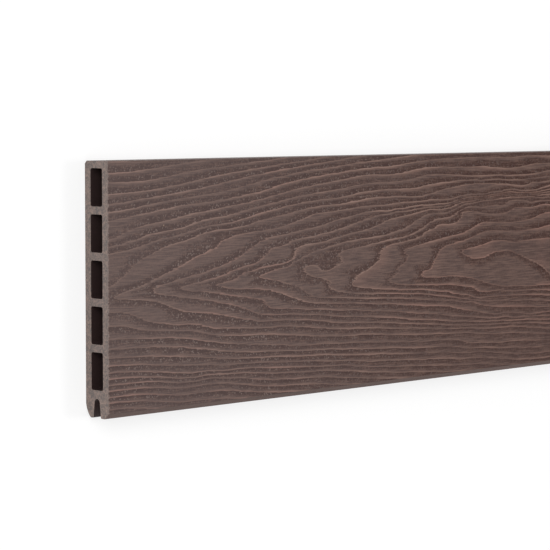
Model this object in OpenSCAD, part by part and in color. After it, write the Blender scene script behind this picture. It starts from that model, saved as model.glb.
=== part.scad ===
// Hollow composite fence board, extruded in one piece and sawn to length.
// X runs along the board, Y across it, Z through its thickness.
// It lies on its plain back: the embossed face is up and the grooved edge is at -Y.

/* [Board] */
// Length that the board is sawn to
board_length = 1800; // [300:10:3600]
// Width from the plain edge to the lips of the grooved edge
board_width = 156; // [140:1:200]
// Thickness from the back to the embossed face
board_thickness = 21; // [20:0.5:28]

/* [Walls] */
// Wall behind the embossed face
face_wall = 4.9; // [3.5:0.1:6]
// Wall along the plain back
back_wall = 5.3; // [3.5:0.1:6]
// Wall along the plain edge
edge_wall = 4.4; // [3.5:0.1:7]
// Web between two chambers
web = 4.8; // [3:0.1:7]
// Wall between the last chamber and the crown of the groove
groove_wall = 5.2; // [3.5:0.1:7]

/* [Chambers] */
// Number of hollow chambers side by side
chamber_count = 5; // [3:1:6]
// Radius of each chamber's corners
chamber_corner_r = 1.3; // [0.5:0.1:2]

/* [Groove] */
// Depth of the groove that takes the joining strip
groove_depth = 11.8; // [8:0.1:13]
// Width of the groove at its mouth
groove_mouth = 7; // [6:0.1:7.5]
// Radius of the round crown at the bottom of the groove
groove_crown_r = 2.5; // [2:0.1:2.8]
// Radius that eases the inner edge of both lips
groove_edge_r = 0.6; // [0.2:0.1:0.8]

/* [Edges] */
// Leg of the 45 degree chamfer between the back and the plain edge
back_chamfer = 1.7; // [0.5:0.1:2.5]
// Radius between the embossed face and the plain edge
face_edge_r = 1; // [0.3:0.1:2]
// How far the back lip curves in from the back at its tip
back_lip_inset = 4.4; // [2.5:0.1:4.8]
// Height of the curve up the back lip
back_lip_height = 9.3; // [6:0.1:11]
// How far the chamfer of the face lip reaches in from the face
face_lip_inset = 3.2; // [1:0.1:4]
// Height of the chamfer up the face lip
face_lip_height = 3.4; // [3:0.1:8]
// Radius at the tip of the face lip and at the top of its chamfer
face_lip_r = 1; // [0.3:0.1:1.2]

/* [Hidden] */
$fn = 64;
overrun = 1;
dip = 0.02;
composite_brown = [0.36, 0.30, 0.28];

// Places across the board, in the plane of the section: x is Y, y is Z
plain_edge = board_width / 2;
lip_edge = -board_width / 2;
mid_plane = board_thickness / 2;
crown_y = lip_edge + groove_depth - groove_crown_r;
chamber_depth = board_thickness - face_wall - back_wall;
chamber_span = board_width - edge_wall - groove_wall - groove_depth;
chamber_width = (chamber_span - (chamber_count - 1) * web) / chamber_count;
back_lip_r = (pow(back_lip_inset, 2) + pow(back_lip_height, 2)) / (2 * back_lip_inset);

// The groove's walls run from the mouth into the crown, just inside its widest place
crown_half = groove_crown_r * 0.985;
wall_slope = (groove_mouth / 2 - crown_half) / (groove_depth - groove_crown_r);

function unit(v) = v / norm(v);

// The piece to cut off a convex corner at p, between its neighbours a and b, to leave a radius r.
// Its circle dips past both lines, so that it cuts them at a clean angle.
module corner_waste(a, p, b, r) {
    to_a = unit(a - p);
    to_b = unit(b - p);
    half_angle = acos(to_a * to_b) / 2;
    setback = r / tan(half_angle);
    middle = unit(to_a + to_b);
    centre = p + middle * r / sin(half_angle);
    start = p + to_a * setback;
    end = p + to_b * setback;
    difference() {
        polygon([
            centre,
            start + unit(start - centre) * overrun,
            p - middle * 2 * overrun,
            end + unit(end - centre) * overrun
        ]);
        translate(centre) circle(r = r + min(dip, r / 50));
    }
}

// Full rectangle of the board's section
module blank() {
    translate([lip_edge, 0]) square([board_width, board_thickness]);
}

// Chamfer at the back and radius at the face of the plain edge
module plain_edge_waste() {
    polygon([
        [plain_edge - back_chamfer - overrun, -overrun],
        [plain_edge + overrun, -overrun],
        [plain_edge + overrun, back_chamfer + overrun]
    ]);
    corner_waste(
        [lip_edge, board_thickness],
        [plain_edge, board_thickness],
        [plain_edge, 0],
        face_edge_r
    );
}

// Long curve of the back lip, which runs out into the back of the board
module back_lip_waste() {
    difference() {
        translate([lip_edge - overrun, -overrun])
            square([back_lip_height + overrun, back_lip_inset + 2 * overrun]);
        translate([lip_edge + back_lip_height, back_lip_r - dip]) circle(r = back_lip_r, $fn = 180);
    }
}

// Straight chamfer of the face lip, eased at both of its ends
module face_lip_waste() {
    chamfer_top = [lip_edge + face_lip_height, board_thickness];
    chamfer_tip = [lip_edge, board_thickness - face_lip_inset];
    slope = unit(chamfer_tip - chamfer_top);
    polygon([
        chamfer_top - slope * overrun,
        chamfer_tip + slope * overrun,
        [lip_edge - 2 * overrun, board_thickness + 2 * overrun]
    ]);
    corner_waste(chamfer_top, chamfer_tip, [lip_edge, mid_plane], face_lip_r);
    corner_waste([plain_edge, board_thickness], chamfer_top, chamfer_tip, face_lip_r);
}

// Chamber number i, counted from the plain edge
module chamber(i) {
    top = plain_edge - edge_wall - i * (chamber_width + web);
    corners = [
        [top - chamber_width, back_wall],
        [top, back_wall],
        [top, back_wall + chamber_depth],
        [top - chamber_width, back_wall + chamber_depth]
    ];
    difference() {
        polygon(corners);
        for (k = [0 : 3])
            corner_waste(
                corners[(k + 3) % 4],
                corners[k],
                corners[(k + 1) % 4],
                chamber_corner_r
            );
    }
}

// Tapered groove with its round crown, and the eased inner edges of the lips
module groove() {
    half_mouth = groove_mouth / 2;
    flare = overrun * wall_slope;
    polygon([
        [lip_edge - overrun, mid_plane - half_mouth - flare],
        [lip_edge - overrun, mid_plane + half_mouth + flare],
        [crown_y, mid_plane + crown_half],
        [crown_y, mid_plane - crown_half]
    ]);
    translate([crown_y, mid_plane]) circle(r = groove_crown_r);
    for (side = [-1, 1])
        corner_waste(
            [crown_y, mid_plane + side * crown_half],
            [lip_edge, mid_plane + side * half_mouth],
            [lip_edge, mid_plane + side * board_thickness],
            groove_edge_r
        );
}

// Section of the extrusion
module section() {
    difference() {
        blank();
        plain_edge_waste();
        back_lip_waste();
        face_lip_waste();
        for (i = [0 : chamber_count - 1]) chamber(i);
        groove();
    }
}

module fence_board() {
    color(composite_brown)
        rotate([90, 0, 90])
            linear_extrude(height = board_length, center = true)
                section();
}

fence_board();
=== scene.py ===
# Composite fence board: a hollow extrusion with a wood grain rolled into its face.
# X runs along the board, Y across it and Z up through its thickness.
# It lies on its plain back, with the grooved edge at -Y.
import math

import bmesh
import bpy
import numpy as np
from bpy.props import FloatProperty, FloatVectorProperty, IntProperty, PointerProperty
from bpy.types import Operator, Panel, PropertyGroup
from mathutils import Matrix, Vector


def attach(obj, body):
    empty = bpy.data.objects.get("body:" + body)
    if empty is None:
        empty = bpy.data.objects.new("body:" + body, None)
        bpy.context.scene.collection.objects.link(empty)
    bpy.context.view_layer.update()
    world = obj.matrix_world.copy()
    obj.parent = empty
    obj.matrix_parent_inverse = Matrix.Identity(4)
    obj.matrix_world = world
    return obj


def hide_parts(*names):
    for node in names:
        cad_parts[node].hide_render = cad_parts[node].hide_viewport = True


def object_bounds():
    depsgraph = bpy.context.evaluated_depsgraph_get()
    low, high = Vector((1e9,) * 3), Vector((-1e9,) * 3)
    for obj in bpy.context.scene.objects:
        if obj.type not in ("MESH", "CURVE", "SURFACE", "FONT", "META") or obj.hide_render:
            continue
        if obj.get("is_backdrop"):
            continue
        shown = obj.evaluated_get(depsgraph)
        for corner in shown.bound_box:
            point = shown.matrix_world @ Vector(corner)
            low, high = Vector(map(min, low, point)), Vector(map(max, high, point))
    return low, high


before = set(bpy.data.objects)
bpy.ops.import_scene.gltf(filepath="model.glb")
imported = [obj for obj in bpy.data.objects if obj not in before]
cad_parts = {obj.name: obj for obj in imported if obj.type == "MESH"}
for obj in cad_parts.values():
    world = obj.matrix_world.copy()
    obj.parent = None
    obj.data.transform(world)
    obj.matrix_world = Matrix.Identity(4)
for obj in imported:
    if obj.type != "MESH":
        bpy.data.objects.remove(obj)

bl_info = {
    "name": "Composite Fence Board",
    "version": (1, 0, 0),
    "blender": (4, 5, 0),
    "location": "3D View > Sidebar > Fence Board",
    "description": "Hollow composite fence board with an embossed wood grain",
    "category": "Object",
}

CAD_LOW, CAD_HIGH = (tuple(corner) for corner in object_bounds())
MM = 0.001

# The wood grain, drawn as rings. Each ring number has places that its line passes through,
# in millimetres along the board from the near end and across it from the middle.
# The numbers rise towards the heart of the grain, and half numbers set the ground between lines.
GRAIN_LINES = {
    -12: [(0, -72.3)],
    -10: [(0, -65), (60, -68.5)],
    -9: [(0, 71)],
    -8: [(40, -58.4), (85, -60), (130, -64.7), (200, -69.2), (0, 65.6), (60, 69.8)],
    -7: [
        (40, -55.8), (115, -59), (190, -63.6), (215, -66), (30, 59.5), (60, 62.9), (130, 72.1),
        (165, 75.5),
    ],
    -6: [(68, -55.5), (95, -56), (0, 51.8), (165, 72.5)],
    -5: [(75, -50.6), (190, -57.5), (230, -60.8), (320, -66.2), (130, 63.8)],
    -4: [
        (188, -53), (240, -56.4), (310, -60.4), (345, -62.7), (400, -68.3), (0, 42), (30, 46),
        (60, 49.8), (130, 57.1),
    ],
    -3: [(150, -47.6), (0, 30.8), (230, 65.3), (250, 65), (345, 69), (400, 69.6)],
    -2: [
        (0, -29.8), (130, -42.3), (160, -45), (200, -46.4), (240, -48.5), (280, -51.2),
        (335, -56), (360, -57.6), (60, 36), (290, 64.2), (335, 62.4), (370, 62), (400, 62.3),
    ],
    -1: [
        (15, -22.8), (50, -27.6), (72, -29.6), (130, -35.2), (165, -38.4), (228, -42.2),
        (350, -50.5), (0, 22.3), (100, 37.6), (200, 50.8), (310, 58.7), (345, 59.2),
    ],
    0: [
        (0, -13), (30, -20.2), (55, -24.3), (84, -28), (130, -31.4), (270, -41), (300, -43.3),
        (330, -44.8), (0, 2.5), (10, 7), (48, 25.5), (82, 32.8), (130, 38.5), (230, 49.8),
        (280, 49.6), (305, 54), (320, 55.8), (340, 57.3), (355, 56.8), (370, 56), (400, 56.3),
    ],
    1: [
        (5, -4.7), (15, -6), (20, 0), (33, -7.6), (90, -19.8), (112, -24.2), (150, -27.4),
        (330, -42.8), (378, -44.5), (32, 3.2), (90, 23.2), (106, 29.6), (140, 32.4), (180, 41),
        (260, 46), (290, 47), (350, 50), (365, 51.2), (385, 51.3), (400, 50.6),
    ],
    1.5: [(19, -3.5)],
    2: [
        (39, -4), (52, -5.8), (183, -26.2), (275, -35.5), (310, -38.8), (378, -43), (804, -6),
        (40, 0.8), (50, 2.4), (124, 22.8), (135, 27), (186, 33.5), (250, 41), (262, 42),
        (290, 43.4), (305, 44), (320, 46), (345, 47.6), (365, 49.3), (385, 49.4), (400, 48.9),
    ],
    3: [
        (57, -1), (75, -4.3), (90, -6.7), (131, -14.5), (137, -19), (170, -21.9), (200, -24.5),
        (235, -27), (370, -39.5), (400, -41), (66, 0.3), (78, 2), (93, 4.4), (122, 10.8),
        (130, 15), (139, 20), (150, 22), (240, 38), (255, 39.6),
    ],
    3.5: [(72, -1.6)],
    4: [
        (88, -0.8), (124, -5.6), (163, -15), (190, -18.9), (215, -20.2), (325, -31.5),
        (362, -37.3), (400, -39.3), (105, 1.6), (112, 5), (147, 9.8), (154, 11.4), (159, 15.5),
        (162, 20), (182, 22), (290, 40.3), (322, 44), (345, 46.2), (370, 47.9), (400, 47.6),
    ],
    4.4: [(105, -1.8)],
    5: [
        (135, 0), (160, -6.3), (176, -14), (250, -19), (310, -24.2), (335, -27), (365, -31.8),
        (400, -34), (127, 3), (142, 6.2), (158, 10.6), (240, 24), (320, 41), (360, 45.4),
        (385, 46.3), (400, 46),
    ],
    6: [
        (177, -1.2), (189, -3.8), (225, -15), (285, -18.6), (672, -2), (192, 3.2), (202.5, 9),
        (203, 15.4), (255, 21.5), (275, 25), (285, 28.4), (316, 36), (345, 40.2), (370, 40.5),
        (400, 42),
    ],
    6.4: [(195, -1)],
    6.7: [(206, 0)],
    7: [
        (212.5, -8.5), (214, -5), (300, -17.5), (320, -20.5), (340, -24.2), (239, 9.5),
        (250, 17.6), (286, 25), (297, 28.8), (316, 30), (323, 36.6), (380, 38.4), (410, 40),
    ],
    7.4: [(232, -4)],
    8: [
        (249, -8), (255, -3), (262, -10.6), (310, -13), (335, -16.5), (365, -20.3), (400, -22),
        (266, 14.3), (266.5, 7), (300, 19.3), (325, 22.8), (340, 27.8), (347, 29.6),
        (360, 28.9), (372, 28.2), (400, 30),
    ],
    8.5: [(268, 0)],
    9: [
        (284, -6.5), (291, -0.5), (300, -7.4), (335, -10.5), (350, -14.3), (370, -17.8),
        (400, -19.3), (299, 10), (305, 14), (345, 22.5),
    ],
    10: [
        (400, -0.8), (412, -5.6), (425, -13), (450, -15), (324, 10), (330, 5.5), (345, 13.4),
        (358, 7), (372, 8), (380, 14), (385, 4.6), (430, 15),
    ],
    9.5: [(345, -5), (370, -7), (395, -11), (412, -14.5)],
    10.3: [(345, 8)],
    10.35: [(365, 11)],
    10.45: [(390, 9)],
    10.4: [(420, 5)],
}

# Past the places above, the ring numbers change evenly along both edges, up to the next turn
LAST_PLACE, NEXT_TURN, EDGE_Y = 400, 900, 77
EDGE_RINGS = {EDGE_Y: (-4.2, -9.9), -EDGE_Y: (-5.9, -12.8)}
for far in (480, 560, 640, 720, 800, 870):
    part = (far - LAST_PLACE) / (NEXT_TURN - LAST_PLACE)
    for edge_y, (first, last) in EDGE_RINGS.items():
        GRAIN_LINES.setdefault(first + (last - first) * part, []).append((far, edge_y))

# The plate through the grain's places, in mm: how its x and y are scaled, how far it may miss a
# place, how much of a turn is repeated after it and before it, and the places worked out at once
PLATE_SCALE = (150.0, 50.0)
PLATE_SLACK = 0.0002
REPEATED_AFTER, REPEATED_BEFORE = 160, 200
PLACES_AT_ONCE = 8000

# Length over which the end of a turn runs into the next one, the step that finds the pitch, and
# the limits of the pitch, all in mm
JOIN_LENGTH = 110
PITCH_STEP = 0.2
NARROWEST_PITCH, WIDEST_PITCH = 1, 30

# Rows across the face, and runs of rows along it as (end in mm, rows), finest at the near end
FACE_ROWS = 194
FACE_RUNS = ((120, 75), (430, 119), (None, 204))
CHAMBER_RUNS = ((None, 6),)

# Shape of a pressed groove: the shares of the pitch that its flat and its fade may take, the
# width in mm of its steep wall, the width in mm and share of the depth of the worn edge beyond
# it, and the pitches in mm between which crowded lines reach their full depth
FLAT_SHARE, FADE_SHARE = 0.28, 0.5
WALL_WIDTH = 0.9
WORN_WIDTH, WORN_DEPTH = 0.5, 0.3
CROWDED_PITCH, CLEAR_PITCH = 1.2, 2.8

# Width in mm over which the grain runs out at the rims of the face, the slack that a place is
# tested with, and the angle from which an edge of the section stays crisp
RIM = 1.4
HAIR = 0.01 * MM
CRISP_ANGLE = math.radians(28)

# Share of its radius at which the groove's walls meet its round crown, and the share of the back
# lip's curve that is rounded, so that its two ends stay apart from the corners beside them
CROWN_SHARE = 0.985
CURVE_SHARE = 0.999

# A skin face is part of the embossed face when it lies in this band under the top and is no
# steeper than this, and part of the groove when it lies further in from the lips than this
FACE_BAND, FACE_UPWARD = 1.5 * MM, 0.8
LIP_BAND = 0.05 * MM

# Finishes of the faces while the board is made, where 0 is a face that has none yet
FACE, SKIN, CHAMBER, SAWN = 1, 2, 3, 4

# Attributes that carry the grain to the face's material
GRAIN_LAYERS = ("ring", "pitch", "lean")

# Lamps as (name, its setting, where it stands, what it points at), and their width
LAMPS = (
    ("key_lamp", "key", (-2.4, 0.8, 1.6), (-0.7, 0, 0)),
    ("sheen_lamp", "sheen", (2.0, -0.1, 3.3), (-0.85, 0, 0)),
)
LAMP_WIDTH = 1.2

# Floor: half its width, the strength of its own white, and the share of that white that shows
# near the board, which grows to all of it between these two distances
FLOOR_HALF = 20
FLOOR_WHITE = 1.15
NEAR_SHARE, NEAR_FLOOR, FAR_FLOOR = 0.6, 1.2, 3.0

# Camera at the photo's viewing angle: lens and sensor in mm, place, and its right and up
LENS, SENSOR_WIDTH = 148.58, 36
CAMERA_SPOT = (-1.77776, 0.11133, 1.06347)
CAMERA_RIGHT = (0.71545, 0.00071, 0.69866)
CAMERA_UP = (0.05155, 0.99722, -0.05381)


def paint(red, green, blue):
    """Scene colour of a paint given as 0 to 255."""
    return tuple(
        level / 12.92 if level <= 0.04045 else ((level + 0.055) / 1.055) ** 2.4
        for level in (red / 255, green / 255, blue / 255)
    )


def size(name, text, metres, high=4.0):
    """Property for a length."""
    return FloatProperty(
        name=name, description=text, default=metres, min=0, max=high,
        precision=4, unit="LENGTH", subtype="DISTANCE",
    )


def colour(name, text, shade):
    """Property for a colour."""
    return FloatVectorProperty(
        name=name, description=text, default=shade, min=0, max=1, size=3, subtype="COLOR"
    )


def power(name, text, watts):
    """Property for the power of a lamp."""
    return FloatProperty(name=name, description=text, default=watts, min=0, unit="POWER")


class BoardSizes(PropertyGroup):
    """Sizes of the extruded section and of the length it is sawn to"""

    length: size("Length", "Length the board is sawn to", CAD_HIGH[0] - CAD_LOW[0])
    width: size("Width", "From the plain edge to the lips", CAD_HIGH[1] - CAD_LOW[1])
    thickness: size("Thickness", "From the back to the face", CAD_HIGH[2] - CAD_LOW[2])
    face_wall: size("Face Wall", "Wall behind the embossed face", 4.9 * MM)
    back_wall: size("Back Wall", "Wall along the plain back", 5.3 * MM)
    edge_wall: size("Edge Wall", "Wall along the plain edge", 4.4 * MM)
    groove_wall: size("Groove Wall", "Wall between the last chamber and the groove", 5.2 * MM)
    web: size("Web", "Web between two chambers", 4.8 * MM)
    chambers: IntProperty(
        name="Chambers", description="Number of hollow chambers", default=5, min=3, max=6
    )
    chamber_corner: size("Chamber Corner", "Radius of a chamber's corners", 1.3 * MM)
    groove_depth: size("Groove Depth", "Depth of the joining groove", 11.8 * MM)
    groove_mouth: size("Groove Mouth", "Width of the groove at its mouth", 7 * MM)
    groove_crown: size("Groove Crown", "Radius at the bottom of the groove", 2.5 * MM)
    groove_easing: size("Groove Easing", "Radius inside both lips", 0.6 * MM)
    back_chamfer: size("Back Chamfer", "Chamfer of the plain edge at the back", 1.7 * MM)
    face_radius: size("Face Radius", "Radius of the plain edge at the face", 1 * MM)
    back_lip_inset: size("Back Lip Inset", "How far the back lip curves in", 4.4 * MM)
    back_lip_height: size("Back Lip Height", "How far its curve reaches up", 9.3 * MM)
    face_lip_inset: size("Face Lip Inset", "How far the face lip is chamfered in", 3.2 * MM)
    face_lip_height: size("Face Lip Height", "How far its chamfer reaches up", 3.4 * MM)
    face_lip_radius: size("Face Lip Radius", "Radius at both ends of its chamfer", 1 * MM)


class GrainSizes(PropertyGroup):
    """Sizes of the grain that the roller presses into the face"""

    roller: size("Roller Turn", "Length after which the grain repeats", NEXT_TURN * MM)
    depth: size("Depth", "Depth of the pressed grooves", 0.45 * MM, high=2 * MM)
    groove: size("Groove Width", "Widest flat of a pressed groove", 2.2 * MM)
    fade: size("Fade Width", "Widest slope from a groove to the land", 8 * MM)
    edge: size("Worn Edge", "Width of the bright worn edge", 0.6 * MM)


class BoardColours(PropertyGroup):
    """Colours of the composite"""

    pale: colour("Pale", "Palest composite of the brushed land", paint(99, 75, 66))
    dark: colour("Dark", "Darkest composite of the pressed grooves", paint(60, 38, 33))
    worn: colour("Worn Edge", "Edges worn bright by the brush", paint(134, 106, 94))
    rosy: colour("Rosy Edge", "Stretches of worn edge with more pigment", paint(139, 104, 92))
    flour: colour("Wood Flour", "Pale grains of wood in the hollows", paint(150, 132, 124))
    specks: colour("Specks", "Pale specks in the face", paint(190, 165, 140))
    sawn: colour("Sawn End", "Freshly sawn composite", paint(129, 115, 109))
    # Painted sheen: a grey laid over the face near its ends in place of the reflection of the
    # white room
    painted_sheen: colour("Painted Sheen", "Grey that the face fades to at its ends", paint(118, 108, 107))
    skin: colour("Skin", "Extruded skin of the back and the edges", paint(88, 68, 62))
    skin_specks: colour("Skin Specks", "Pale specks in the skin", paint(180, 158, 136))
    # Painted shade: the inside colour is darkened to stand for the shade deep in the chambers and
    # the groove
    inside: colour("Inside", "Walls of the chambers and of the groove", paint(44, 31, 30))


class StudioSettings(PropertyGroup):
    """Floor and light"""

    floor: colour("Floor", "Colour of the floor", (0.86, 0.86, 0.86))
    sky: FloatProperty(
        name="Sky", description="Strength of the even light from all round",
        default=0.5, min=0, max=4,
    )
    key: power("Key Lamp", "Soft lamp over the near end", 28)
    sheen: power("Sheen Lamp", "Lamp that the near end reflects", 45)


def thin_plate(turn):
    """Solves the thin plate through the grain's places and returns it as a function of x, y."""
    marks = [(x, y, ring) for ring, line in GRAIN_LINES.items() for x, y in line]
    marks += [(x + turn, y, ring) for x, y, ring in marks if x < REPEATED_AFTER] + [
        (x - turn, y, ring) for x, y, ring in marks if x > turn - REPEATED_BEFORE
    ]
    marks = np.array(marks)
    pins = marks[:, :2] / PLATE_SCALE

    def bend(a, b):
        r = np.hypot(a[:, None, 0] - b[None, :, 0], a[:, None, 1] - b[None, :, 1])
        return r * r * np.log(r + 1e-9)

    count = len(pins)
    flat = np.c_[np.ones(count), pins]
    matrix = np.zeros((count + 3, count + 3))
    matrix[:count, :count] = bend(pins, pins) + PLATE_SLACK * np.eye(count)
    matrix[:count, count:] = flat
    matrix[count:, :count] = flat.T
    weights = np.linalg.solve(matrix, np.r_[marks[:, 2], 0, 0, 0])

    def plate(x, y):
        heights = []
        parts = max(1, len(x) // PLACES_AT_ONCE)
        for places in np.array_split(np.c_[x, y] / PLATE_SCALE, parts):
            heights.append(
                bend(places, pins) @ weights[:count]
                + np.c_[np.ones(len(places)), places] @ weights[count:]
            )
        return np.concatenate(heights)

    return plate


def smooth(low, high, value):
    """Smooth step of an array from low to high."""
    t = np.clip((value - low) / (high - low), 0, 1)
    return t * t * (3 - 2 * t)


def ring_and_pitch(x, y):
    """Ring number, spacing of the lines in mm, and rings gained per mm along the board."""
    turn = bpy.context.scene.fence_grain.roller / MM
    plate = thin_plate(turn)

    def ring(x, y):
        along = np.mod(x, turn)
        joined = smooth(turn - JOIN_LENGTH, turn, along)
        near = plate(along, y)
        late = joined > 0
        near[late] += joined[late] * (plate(along[late] - turn, y[late]) - near[late])
        return near

    here = ring(x, y)
    along = (ring(x + PITCH_STEP, y) - here) / PITCH_STEP
    across = (ring(x, y + PITCH_STEP) - here) / PITCH_STEP
    steepness = np.clip(np.hypot(along, across), 1 / WIDEST_PITCH, 1 / NARROWEST_PITCH)
    return here, 1 / steepness, along


def pressed_depth(ring, pitch):
    """Share of the full depth that the roller has pressed at these rings."""
    grain = bpy.context.scene.fence_grain
    inner = np.mod(ring, 1) * pitch
    outer = (1 - np.mod(ring, 1)) * pitch
    flat = np.minimum(FLAT_SHARE * pitch, grain.groove / MM)
    fade = np.minimum(FADE_SHARE * pitch, grain.fade / MM)
    hollow = 1 - smooth(flat, flat + fade, outer)
    groove = hollow * smooth(0, WALL_WIDTH, outer)
    edge = WORN_DEPTH * (1 - smooth(-0.1, WORN_WIDTH, inner))
    return np.maximum(groove, edge) * smooth(CROWDED_PITCH, CLEAR_PITCH, pitch)


def eased(bm, corner, reach, segments):
    """Rounds a corner of a flat outline, starting this far from it on both sides."""
    bmesh.ops.bevel(
        bm, geom=[corner], offset=reach, offset_type="OFFSET", affect="VERTICES",
        segments=segments, profile=0.5, material=-1,
    )


def outline(bm, corners):
    """Draws an open outline in the plane x = 0 from (y, z, reach of easing, segments)."""
    verts = [bm.verts.new((0, y, z)) for y, z, *_ in corners]
    bm.faces.new(verts)
    for vert, (*_, reach, segments) in zip(verts, corners):
        if segments:
            eased(bm, vert, reach, segments)
    bmesh.ops.delete(bm, geom=bm.faces[:], context="FACES_ONLY")


def outer_corners(sizes):
    """Corners of the board's outer outline, from the plain edge at the face round by the back."""
    plain, lip, middle = sizes.width / 2, -sizes.width / 2, sizes.thickness / 2
    crown = lip + sizes.groove_depth
    crown_half = sizes.groove_crown * CROWN_SHARE
    chamfer_angle = math.atan2(sizes.face_lip_inset, sizes.face_lip_height)
    tip_reach = sizes.face_lip_radius / math.tan((math.pi / 2 + chamfer_angle) / 2)
    top_reach = sizes.face_lip_radius / math.tan(math.pi / 2 - chamfer_angle / 2)
    curve_foot = (sizes.back_lip_height**2 - sizes.back_lip_inset**2) / (2 * sizes.back_lip_height)
    curve_reach = sizes.back_lip_height - curve_foot
    return [
        (plain, sizes.thickness, sizes.face_radius, 4),
        (plain, sizes.back_chamfer, 0, 0),
        (plain - sizes.back_chamfer, 0, 0, 0),
        (lip + curve_foot, 0, curve_reach * CURVE_SHARE, 8),
        (lip, sizes.back_lip_inset, 0, 0),
        (lip, middle - sizes.groove_mouth / 2, sizes.groove_easing, 3),
        (crown - sizes.groove_crown, middle - crown_half, 0, 0),
        (crown, middle - sizes.groove_crown, crown_half, 4),
        (crown, middle + sizes.groove_crown, crown_half, 4),
        (crown - sizes.groove_crown, middle + crown_half, 0, 0),
        (lip, middle + sizes.groove_mouth / 2, sizes.groove_easing, 3),
        (lip, sizes.thickness - sizes.face_lip_inset, tip_reach, 3),
        (lip + sizes.face_lip_height, sizes.thickness, top_reach, 2),
    ]


def chamber_corners(sizes, number):
    """Corners of one chamber, counted from the plain edge."""
    span = sizes.width - sizes.edge_wall - sizes.groove_wall - sizes.groove_depth
    wide = (span - (sizes.chambers - 1) * sizes.web) / sizes.chambers
    top = sizes.width / 2 - sizes.edge_wall - number * (wide + sizes.web)
    low, high = sizes.back_wall, sizes.thickness - sizes.face_wall
    return [
        (y, z, sizes.chamber_corner, 4)
        for y, z in ((top, low), (top - wide, low), (top - wide, high), (top, high))
    ]


def sweep(bm, length, runs, material):
    """Draws a flat outline out along the board in runs of (end in mm, count of rows)."""
    ends, counts = zip(*runs)
    stops = [0.0] + [length if end is None else end * MM for end in ends]
    bmesh.ops.spin(
        bm, geom=bm.edges[:], cent=(0, 0, 0), axis=(1, 0, 0), dvec=(1, 0, 0), angle=0,
        steps=len(runs), use_merge=False, use_duplicate=False,
    )
    for vert in bm.verts:
        vert.co.x = stops[round(vert.co.x)]
    for count, low, high in zip(counts, stops, stops[1:]):
        middle = (low + high) / 2
        lengthwise = [
            e for e in bm.edges
            if min(v.co.x for v in e.verts) < middle < max(v.co.x for v in e.verts)
        ]
        bmesh.ops.subdivide_edges(bm, edges=lengthwise, cuts=count - 1)
    bmesh.ops.translate(bm, verts=bm.verts[:], vec=(-length / 2, 0, 0))
    for face in bm.faces:
        face.material_index = material


def add_shell(bm, sizes):
    """Outer walls, with the face cut into fine rows for the grain."""
    outline(bm, outer_corners(sizes))
    top = sizes.thickness - HAIR
    top_edges = [e for e in bm.edges if all(v.co.z > top for v in e.verts)]
    face_edge = max(top_edges, key=lambda e: e.calc_length())
    bmesh.ops.subdivide_edges(bm, edges=[face_edge], cuts=FACE_ROWS - 1)
    sweep(bm, sizes.length, FACE_RUNS, SKIN)


def add_chamber(bm, sizes, number):
    """Walls of one chamber, swept in a few long steps."""
    chamber = bmesh.new()
    outline(chamber, chamber_corners(sizes, number))
    sweep(chamber, sizes.length, CHAMBER_RUNS, CHAMBER)
    walls = bpy.data.meshes.new("chamber")
    chamber.to_mesh(walls)
    chamber.free()
    bm.from_mesh(walls)
    bpy.data.meshes.remove(walls)


def press_grain(bm, sizes):
    """Gives the outer vertices their place in the grain, and presses its grooves into the face."""
    layers = [bm.verts.layers.float[name] for name in GRAIN_LAYERS]
    outer = [v for v in bm.verts if any(f.material_index == SKIN for f in v.link_faces)]
    x = np.array([v.co.x + sizes.length / 2 for v in outer]) / MM
    y = np.array([v.co.y for v in outer]) / MM
    ring, pitch, lean = ring_and_pitch(x, y)
    half = sizes.width / 2 / MM
    lip_top = -half + sizes.face_lip_height / MM
    rim = smooth(0, RIM, half - sizes.face_radius / MM - y) * smooth(0, RIM, y - lip_top)
    drop = pressed_depth(ring, pitch) * rim * bpy.context.scene.fence_grain.depth
    for vert, values, down in zip(outer, zip(ring, pitch, lean), drop):
        for layer, value in zip(layers, values):
            vert[layer] = value
        if vert.co.z > sizes.thickness - HAIR:
            vert.co.z -= down


def close_ends(bm, sizes):
    """Sawn ends, which close the shell between its outline and the chambers."""
    for end in (-sizes.length / 2, sizes.length / 2):
        rim = [e for e in bm.edges if all(abs(v.co.x - end) < HAIR for v in e.verts)]
        bmesh.ops.triangle_fill(
            bm, use_beauty=True, use_dissolve=False, edges=rim,
            normal=(math.copysign(1, end), 0, 0),
        )
    for face in bm.faces:
        if face.material_index == 0:
            face.material_index = SAWN
    bmesh.ops.recalc_face_normals(bm, faces=bm.faces[:])


def sort_finishes(bm, sizes):
    """Gives each face its finish, and keeps the corners of the section crisp."""
    lip, crown = -sizes.width / 2, sizes.groove_depth - sizes.width / 2
    groove_half = sizes.groove_mouth / 2 + sizes.groove_easing
    for face in bm.faces:
        face.smooth = face.material_index != SAWN
        if face.material_index != SKIN:
            continue
        centre = face.calc_center_median()
        low = min(v.co.z for v in face.verts)
        in_groove = abs(centre.z - sizes.thickness / 2) < groove_half
        if low > sizes.thickness - FACE_BAND and face.normal.z > FACE_UPWARD:
            face.material_index = FACE
        elif in_groove and lip + LIP_BAND < centre.y < crown:
            face.material_index = CHAMBER
    for edge in bm.edges:
        finishes = {f.material_index for f in edge.link_faces}
        gentle = len(edge.link_faces) == 2 and edge.calc_face_angle(0) < CRISP_ANGLE
        edge.smooth = gentle and not finishes >= {SAWN, FACE}


def build_board():
    """Makes the board as one closed mesh, with its grain pressed in."""
    sizes = bpy.context.scene.fence_board
    bm = bmesh.new()
    for name in GRAIN_LAYERS:
        bm.verts.layers.float.new(name)
    add_shell(bm, sizes)
    for number in range(sizes.chambers):
        add_chamber(bm, sizes, number)
    press_grain(bm, sizes)
    close_ends(bm, sizes)
    sort_finishes(bm, sizes)

    # The mesh's material slots are counted from 0
    for face in bm.faces:
        face.material_index -= 1
    mesh = bpy.data.meshes.new("embossed_board")
    bm.to_mesh(mesh)
    bm.free()
    return mesh


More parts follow.
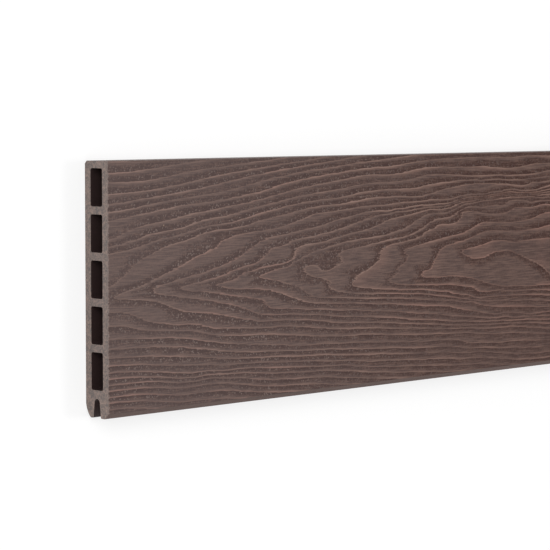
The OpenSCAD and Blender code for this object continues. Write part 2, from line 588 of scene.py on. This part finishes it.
def feed(tree, socket, given):
    """Gives an input a value, or the output that feeds it."""
    if isinstance(given, bpy.types.NodeSocket):
        tree.links.new(given, socket)
    elif socket.type == "RGBA":
        socket.default_value = (*given[:3], 1)
    else:
        socket.default_value = given


def add(tree, kind, inputs=None, **settings):
    """Adds a shader node with its settings and its inputs."""
    node = tree.nodes.new(kind)
    for name, value in settings.items():
        setattr(node, name, value)
    for name, given in (inputs or {}).items():
        feed(tree, node.inputs[name], given)
    return node


def maths(tree, operation, *values, clamp=False):
    """One step of arithmetic on values or outputs."""
    inputs = dict(enumerate(values))
    return add(tree, "ShaderNodeMath", inputs, operation=operation, use_clamp=clamp).outputs[0]


def times(tree, first, *others):
    """Product of values or outputs."""
    for other in others:
        first = maths(tree, "MULTIPLY", first, other)
    return first


def total(tree, first, *others):
    """Sum of values or outputs."""
    for other in others:
        first = maths(tree, "ADD", first, other)
    return first


def centred(tree, value):
    """Moves a value that lies about 0.5 to lie about 0."""
    return maths(tree, "SUBTRACT", value, 0.5)


def ramp(tree, value, low, high, start=0.0, end=1.0):
    """Smooth step of a value from low to high."""
    inputs = dict(enumerate((value, low, high, start, end)))
    return add(tree, "ShaderNodeMapRange", inputs, interpolation_type="SMOOTHSTEP").outputs[0]


def blend(tree, factor, first, second):
    """Mixes two colours by a factor."""
    inputs = {"Factor": factor, 6: first, 7: second}
    return add(tree, "ShaderNodeMix", inputs, data_type="RGBA", blend_type="MIX").outputs[2]


def noise(tree, place, scale, detail=2.0, stretch=(1, 1, 1)):
    """Noise at a scale in cells per metre, stretched along each axis."""
    shifted = add(
        tree, "ShaderNodeMapping", {"Vector": place, "Scale": tuple(1 / by for by in stretch)}
    )
    made = add(
        tree, "ShaderNodeTexNoise",
        {"Vector": shifted.outputs[0], "Scale": scale, "Detail": detail},
    )
    return made.outputs["Fac"]


def new_group(name, outputs):
    """Node group that takes a place and puts out these values."""
    tree = bpy.data.node_groups.new(name, "ShaderNodeTree")
    tree.interface.new_socket("Place", in_out="INPUT", socket_type="NodeSocketVector")
    for label in outputs:
        tree.interface.new_socket(label, in_out="OUTPUT", socket_type="NodeSocketFloat")
    place = tree.nodes.new("NodeGroupInput").outputs["Place"]
    return tree, place, tree.nodes.new("NodeGroupOutput").inputs


def flecks_group():
    """Wood flour in the composite: grit, its palest grains, pale specks and broad blotches."""
    tree, place, made = new_group("Wood Flour", ("Grit", "Salt", "Specks", "Blotch"))
    cells = add(tree, "ShaderNodeTexVoronoi", {"Vector": place, "Scale": 1150.0})
    shade = add(tree, "ShaderNodeSeparateColor", {"Color": cells.outputs["Color"]}).outputs["Red"]
    coarse = noise(tree, place, 640, 2, (2.2, 1, 1))
    tree.links.new(total(tree, times(tree, shade, 0.5), times(tree, coarse, 0.5)), made["Grit"])
    tree.links.new(ramp(tree, shade, 0.86, 0.9), made["Salt"])
    spots = add(tree, "ShaderNodeTexVoronoi", {"Vector": place, "Scale": 130.0})
    picked = maths(tree, "GREATER_THAN", spots.outputs["Color"], 0.9)
    speck = times(tree, ramp(tree, spots.outputs["Distance"], 0.03, 0.07, 1, 0), picked)
    tree.links.new(speck, made["Specks"])
    tree.links.new(noise(tree, place, 9, 3, (3, 1, 1)), made["Blotch"])
    return tree


def brushed_group():
    """Fine lines that a wire brush or the extruder's die leaves along the board."""
    tree, place, made = new_group("Lengthwise Lines", ("Fine", "Broad"))
    tree.links.new(noise(tree, place, 1250, 2, (16, 1, 1)), made["Fine"])
    tree.links.new(noise(tree, place, 420, 3, (40, 1, 1)), made["Broad"])
    return tree


def start_material(name, specular, roughness=0.5):
    """Material with an even gloss, its shader and the place on the board."""
    material = bpy.data.materials.new(name)
    material.use_nodes = True
    tree = material.node_tree
    tree.nodes.clear()
    surface = add(tree, "ShaderNodeBsdfPrincipled")
    surface.inputs["Specular IOR Level"].default_value = specular
    surface.inputs["Roughness"].default_value = roughness
    out = add(tree, "ShaderNodeOutputMaterial")
    tree.links.new(surface.outputs[0], out.inputs["Surface"])
    place = add(tree, "ShaderNodeTexCoord").outputs["Object"]
    return material, tree, surface, place


def place_group(tree, group, place):
    """Puts a node group into a material and returns what it puts out."""
    return add(tree, "ShaderNodeGroup", {"Place": place}, node_tree=group).outputs


def finish_surface(tree, surface, base, height, strength=0.5, distance=0.2 * MM):
    """Gives a surface its colour and its fine bumps."""
    bump = add(
        tree, "ShaderNodeBump", {"Strength": strength, "Distance": distance, "Height": height}
    )
    tree.links.new(base, surface.inputs["Base Color"])
    tree.links.new(bump.outputs[0], surface.inputs["Normal"])


def wandering_ring(tree, place, ring, pitch, lean):
    """The lines waver a little, and brush strokes drag them to and fro along the board."""
    waver = times(tree, centred(tree, noise(tree, place, 300, 3, (3, 1, 1))), 1.4)
    stroke = centred(tree, noise(tree, place, 1300, 2, (12, 1, 1)))
    drag = times(tree, stroke, 9.0, lean)
    return total(tree, ring, maths(tree, "DIVIDE", waver, pitch), drag)


def line_strength(tree, along, number):
    """Every line has a strength of its own, which comes and goes along the board."""
    spot = add(
        tree, "ShaderNodeCombineXYZ",
        {"X": times(tree, along, 14.0), "Y": times(tree, number, 7.3)},
    )
    return noise(tree, spot.outputs[0], 1.0, 2)


def line_marks(tree, ring, pitch, lean, along, over, from_end):
    """Distances from the lines on both sides, and how hollow, worn and rubbed the face is."""
    grain = bpy.context.scene.fence_grain
    groove, fade, edge = grain.groove / MM, grain.fade / MM, grain.edge / MM

    # Each ring's fraction gives the distance from its own line and from the next one, in mm
    part = maths(tree, "FRACT", ring)
    inner = times(tree, part, pitch)
    outer = times(tree, maths(tree, "SUBTRACT", 1.0, part), pitch)
    flat = maths(tree, "MINIMUM", times(tree, pitch, 0.36), groove)
    across = maths(tree, "MULTIPLY", maths(tree, "ABSOLUTE", lean), pitch, clamp=True)
    widest = ramp(tree, across, 0.2, 0.9, fade * 0.7, fade * 0.35)
    slope = maths(tree, "MINIMUM", times(tree, pitch, 0.5), widest)
    after = line_strength(tree, along, maths(tree, "CEIL", ring))
    before = line_strength(tree, along, maths(tree, "FLOOR", ring))

    # Between the ends, the roller has pressed the grooved side more lightly
    lightly = ramp(tree, over, -0.055, -0.01, ramp(tree, from_end, 0.1, 0.35, 1, 0.55), 1)
    hollow = times(
        tree,
        ramp(tree, outer, flat, total(tree, flat, slope), 1, 0),
        ramp(tree, after, 0.35, 0.6, 0.5, 1),
        lightly,
    )
    worn = times(
        tree,
        ramp(tree, inner, edge * 0.5, edge * 1.8, 1, 0),
        ramp(tree, before, 0.38, 0.65, 0.25, 1),
        lightly,
        ramp(tree, from_end, 0.2, 0.4, 1, 0.72),
    )
    rubbed = times(
        tree,
        ramp(tree, inner, 0.3, times(tree, pitch, 0.55), 1, 0),
        ramp(tree, before, 0.45, 0.7, 0, 0.55),
        lightly,
        ramp(tree, from_end, 0.08, 0.3, 0.25, 0.9),
    )

    # Where the lines bunch together they make one rough groove
    bunch = ramp(tree, pitch, 1.0, 2.0, 0.75, 0)
    hollow = maths(tree, "MAXIMUM", hollow, bunch)
    worn = times(tree, worn, maths(tree, "SUBTRACT", 1.0, bunch))
    return inner, outer, hollow, worn, rubbed


def face_material(flour, lines):
    """Embossed face: smooth brushed land, rough pressed hollows and bright worn edges."""
    colours = bpy.context.scene.fence_colours
    material, tree, surface, place = start_material("embossed_face", 0.2)
    flour = place_group(tree, flour, place)
    lines = place_group(tree, lines, place)
    ring, pitch, lean = (
        add(tree, "ShaderNodeAttribute", attribute_name=name).outputs["Fac"]
        for name in GRAIN_LAYERS
    )
    spread = add(tree, "ShaderNodeSeparateXYZ", {"Vector": place}).outputs
    along, over = spread["X"], spread["Y"]
    half_length = (CAD_HIGH[0] - CAD_LOW[0]) / 2
    from_end = maths(tree, "SUBTRACT", half_length, maths(tree, "ABSOLUTE", along))
    ring = wandering_ring(tree, place, ring, pitch, lean)
    inner, outer, hollow, worn, rubbed = line_marks(
        tree, ring, pitch, lean, along, over, from_end
    )

    # Darkness runs from the pale brushed land to the rough bottom of the grooves
    brush = centred(tree, lines["Fine"])
    grit = centred(tree, flour["Grit"])
    tired = ramp(tree, flour["Blotch"], 0.35, 0.65)
    hollow = times(tree, hollow, total(tree, times(tree, tired, 0.35), 0.65))
    ragged = ramp(tree, total(tree, hollow, times(tree, grit, 0.9)), 0.08, 0.75)
    land = total(
        tree,
        ramp(tree, pitch, 3.0, 9.0, 0.54, 0.5),
        ramp(tree, ring, 9.7, 10.3, 0, 0.2),
        # Painted shade: the land grows darker towards the grooved edge, where the light falls off
        ramp(tree, over, -0.07, -0.015, 0.1, 0),
    )
    darkest = ramp(tree, from_end, 0, 0.3, 1, 0.85)
    coarseness = ramp(tree, hollow, 0, 1, 0.6, ramp(tree, from_end, 0.1, 0.35, 1.9, 1.2))
    tone = total(
        tree,
        land,
        times(tree, ragged, maths(tree, "SUBTRACT", darkest, land)),
        ramp(tree, inner, 0, 2.0, -0.2, 0),
        ramp(tree, outer, 0.6, 2.8, 0.14, 0),
        times(tree, grit, coarseness),
        times(tree, brush, 2.6),
        times(tree, tired, -0.08),
    )
    base = blend(tree, tone, tuple(colours.pale), tuple(colours.dark))

    # Pale grains lie in the hollows, and the brush has rubbed the lines' edges bright
    grains = ramp(tree, hollow, 0, 1, 0.06, ramp(tree, from_end, 0.1, 0.35, 0.45, 0.25))
    base = blend(tree, times(tree, flour["Salt"], grains), base, tuple(colours.flour))
    base = blend(tree, rubbed, base, tuple(colours.rosy))
    rosy = ramp(tree, noise(tree, place, 14, 2, (3, 1, 1)), 0.47, 0.64)
    base = blend(tree, worn, base, blend(tree, rosy, tuple(colours.worn), tuple(colours.rosy)))

    # Towards its ends the face is painted grey, a painted sheen standing in for the white room's
    # reflection, and the saw leaves a pale arris there
    base = blend(tree, ramp(tree, from_end, 0.0, 0.42, 0.25, 0), base, tuple(colours.painted_sheen))
    chipped = total(tree, from_end, times(tree, grit, 2 * MM))
    base = blend(tree, ramp(tree, chipped, 0.3 * MM, 1.1 * MM, 0.8, 0), base, tuple(colours.sawn))
    base = blend(tree, times(tree, flour["Specks"], 0.6), base, tuple(colours.specks))
    tree.links.new(ramp(tree, hollow, 0, 1, 0.58, 0.8), surface.inputs["Roughness"])

    rough = times(tree, grit, ramp(tree, hollow, 0, 1, 0.4, 2.4))
    height = total(tree, maths(tree, "SUBTRACT", rough, hollow), times(tree, brush, 0.5))
    finish_surface(tree, surface, base, height)
    return material


def skin_material(flour, lines):
    """Extruded skin of the back and the edges, drawn lengthwise by the die."""
    skin = bpy.context.scene.fence_colours.skin
    specks = tuple(bpy.context.scene.fence_colours.skin_specks)
    material, tree, surface, place = start_material("extruded_skin", 0.3, 0.55)
    flour = place_group(tree, flour, place)
    lines = place_group(tree, lines, place)
    streak = times(tree, centred(tree, lines["Broad"]), 1.4)
    tone = total(tree, streak, times(tree, flour["Grit"], 0.9))
    base = blend(tree, tone, tuple(v * 0.74 for v in skin), tuple(v * 1.25 for v in skin))
    base = blend(tree, times(tree, flour["Specks"], 0.5), base, specks)
    height = total(tree, lines["Broad"], times(tree, lines["Fine"], 0.5))
    finish_surface(tree, surface, base, height)
    return material


def chamber_material(flour, lines):
    """Walls of the chambers and the groove, smooth from the die, in a dark colour that is painted
    shade deep inside them.
    """
    inside = bpy.context.scene.fence_colours.inside
    material, tree, surface, place = start_material("chamber_wall", 0.3, 0.6)
    flour = place_group(tree, flour, place)
    lines = place_group(tree, lines, place)
    tone = total(tree, times(tree, flour["Grit"], 0.5), times(tree, lines["Broad"], 0.5))
    base = blend(tree, tone, tuple(v * 0.8 for v in inside), tuple(v * 1.2 for v in inside))
    finish_surface(tree, surface, base, lines["Broad"], strength=0.4)
    return material


def sawn_material(flour):
    """Sawn end: paler, gritty, with faint marks of the blade across it."""
    sawn = bpy.context.scene.fence_colours.sawn
    material, tree, surface, place = start_material("sawn_end", 0.3, 0.8)
    grit = centred(tree, place_group(tree, flour, place)["Grit"])
    marks = centred(tree, noise(tree, place, 900, 2, (1, 1, 12)))
    patch = ramp(tree, noise(tree, place, 230, 3), 0.35, 0.65)
    tone = total(
        tree, times(tree, grit, 1.6), times(tree, marks, 0.6), times(tree, patch, 0.4)
    )
    tone = maths(tree, "ADD", tone, 0.27, clamp=True)
    cool = tuple(v * k for v, k in zip(sawn, (0.66, 0.72, 0.76)))
    warm = tuple(v * k for v, k in zip(sawn, (1.3, 1.24, 1.2)))
    base = blend(tree, tone, cool, warm)
    finish_surface(tree, surface, base, tone, strength=0.6, distance=0.25 * MM)
    return material


class FENCEBOARD_OT_board(Operator):
    """Make the embossed board and dress it"""

    bl_idname = "fence_board.board"
    bl_label = "Embossed Board"

    def execute(self, context):
        board = bpy.data.objects.new("embossed_board", build_board())
        context.scene.collection.objects.link(board)
        flour, lines = flecks_group(), brushed_group()
        for material in (
            face_material(flour, lines),
            skin_material(flour, lines),
            chamber_material(flour, lines),
            sawn_material(flour),
        ):
            board.data.materials.append(material)
        weighted = board.modifiers.new("Flat Walls", "WEIGHTED_NORMAL")
        weighted.keep_sharp = True
        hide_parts("fence_board")
        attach(board, "root")
        return {"FINISHED"}


def seen_directly(tree):
    """1 for camera, glossy and transmission rays."""
    path = add(tree, "ShaderNodeLightPath").outputs
    seen = maths(tree, "ADD", path["Is Camera Ray"], path["Is Glossy Ray"], clamp=True)
    return maths(tree, "ADD", seen, path["Is Transmission Ray"], clamp=True)


def mix_shaders(tree, factor, first, second, kind):
    """Mixes two shaders and shows them through an output node."""
    pick = add(tree, "ShaderNodeMixShader", {0: factor})
    tree.links.new(first.outputs[0], pick.inputs[1])
    tree.links.new(second.outputs[0], pick.inputs[2])
    tree.links.new(pick.outputs[0], add(tree, kind).inputs["Surface"])


def floor_material():
    """Plain floor that shows white to the camera and keeps the object's shadow."""
    settings = bpy.context.scene.fence_studio
    material = bpy.data.materials.new("floor")
    material.use_nodes = True
    tree = material.node_tree
    tree.nodes.clear()
    matte = add(tree, "ShaderNodeBsdfDiffuse", {"Color": settings.floor})
    white = add(tree, "ShaderNodeEmission", {"Color": (1, 1, 1), "Strength": FLOOR_WHITE})
    place = add(tree, "ShaderNodeTexCoord").outputs["Object"]
    away = add(tree, "ShaderNodeVectorMath", {"Vector": place}, operation="LENGTH")
    shown = ramp(tree, away.outputs["Value"], NEAR_FLOOR, FAR_FLOOR, NEAR_SHARE, 1)
    factor = times(tree, seen_directly(tree), shown)
    mix_shaders(tree, factor, matte, white, "ShaderNodeOutputMaterial")
    return material


def lay_floor(scene):
    """Lays a wide flat floor under the board."""
    bm = bmesh.new()
    bmesh.ops.create_grid(bm, x_segments=1, y_segments=1, size=FLOOR_HALF)
    mesh = bpy.data.meshes.new("floor")
    bm.to_mesh(mesh)
    bm.free()
    floor = bpy.data.objects.new("floor", mesh)
    floor.data.materials.append(floor_material())
    scene.collection.objects.link(floor)
    floor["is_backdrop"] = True


def light_room(scene):
    """Even light from all round, which shows as white behind the board, and the lamps."""
    settings = scene.fence_studio
    world = bpy.data.worlds.new("studio")
    world.use_nodes = True
    tree = world.node_tree
    tree.nodes.clear()
    soft = add(tree, "ShaderNodeBackground", {"Color": (1, 1, 1), "Strength": settings.sky})
    white = add(tree, "ShaderNodeBackground", {"Color": (1, 1, 1), "Strength": 1.0})
    mix_shaders(tree, seen_directly(tree), soft, white, "ShaderNodeOutputWorld")
    scene.world = world
    for name, setting, spot, aim in LAMPS:
        lamp = bpy.data.lights.new(name, "AREA")
        lamp.shape = "SQUARE"
        lamp.size = LAMP_WIDTH
        lamp.energy = getattr(settings, setting)
        held = bpy.data.objects.new(name, lamp)
        held.location = spot
        held.rotation_euler = (Vector(aim) - Vector(spot)).to_track_quat("-Z", "Y").to_euler()
        scene.collection.objects.link(held)


def place_camera(scene):
    """Sets the camera up at the photo's viewing angle."""
    camera = bpy.data.cameras.new("camera")
    camera.lens = LENS
    camera.sensor_width = SENSOR_WIDTH
    camera.dof.use_dof = False
    eye = bpy.data.objects.new("camera", camera)
    right = Vector(CAMERA_RIGHT)
    back = right.cross(Vector(CAMERA_UP)).normalized()
    up = back.cross(right)
    turned = Matrix((right, up, back)).transposed().to_4x4()
    eye.matrix_world = Matrix.Translation(CAMERA_SPOT) @ turned
    scene.collection.objects.link(eye)
    scene.camera = eye
    scene.view_settings.view_transform = "Standard"


class FENCEBOARD_OT_studio(Operator):
    """Make the floor, the light and the camera"""

    bl_idname = "fence_board.studio"
    bl_label = "Studio"

    def execute(self, context):
        lay_floor(context.scene)
        light_room(context.scene)
        place_camera(context.scene)
        return {"FINISHED"}


class FENCEBOARD_PT_panel(Panel):
    """Lists the steps and their settings"""

    bl_idname = "FENCEBOARD_PT_panel"
    bl_label = "Fence Board"
    bl_space_type = "VIEW_3D"
    bl_region_type = "UI"
    bl_category = "Fence Board"

    def draw(self, context):
        for label, (name, group) in GROUPS.items():
            box = self.layout.box()
            box.label(text=label)
            for each in group.__annotations__:
                box.prop(getattr(context.scene, name), each)
        for step in STEPS:
            self.layout.operator(step.bl_idname)


GROUPS = {
    "Board": ("fence_board", BoardSizes),
    "Grain": ("fence_grain", GrainSizes),
    "Colours": ("fence_colours", BoardColours),
    "Studio": ("fence_studio", StudioSettings),
}
STEPS = (FENCEBOARD_OT_board, FENCEBOARD_OT_studio)
CLASSES = (*(group for _, group in GROUPS.values()), *STEPS, FENCEBOARD_PT_panel)


def register():
    for each in CLASSES:
        bpy.utils.register_class(each)
    for name, group in GROUPS.values():
        setattr(bpy.types.Scene, name, PointerProperty(type=group))


def unregister():
    for name, _ in GROUPS.values():
        delattr(bpy.types.Scene, name)
    for each in reversed(CLASSES):
        bpy.utils.unregister_class(each)


def main():
    register()
    bpy.ops.fence_board.board()
    bpy.ops.fence_board.studio()


if __name__ == "__main__":
    main()
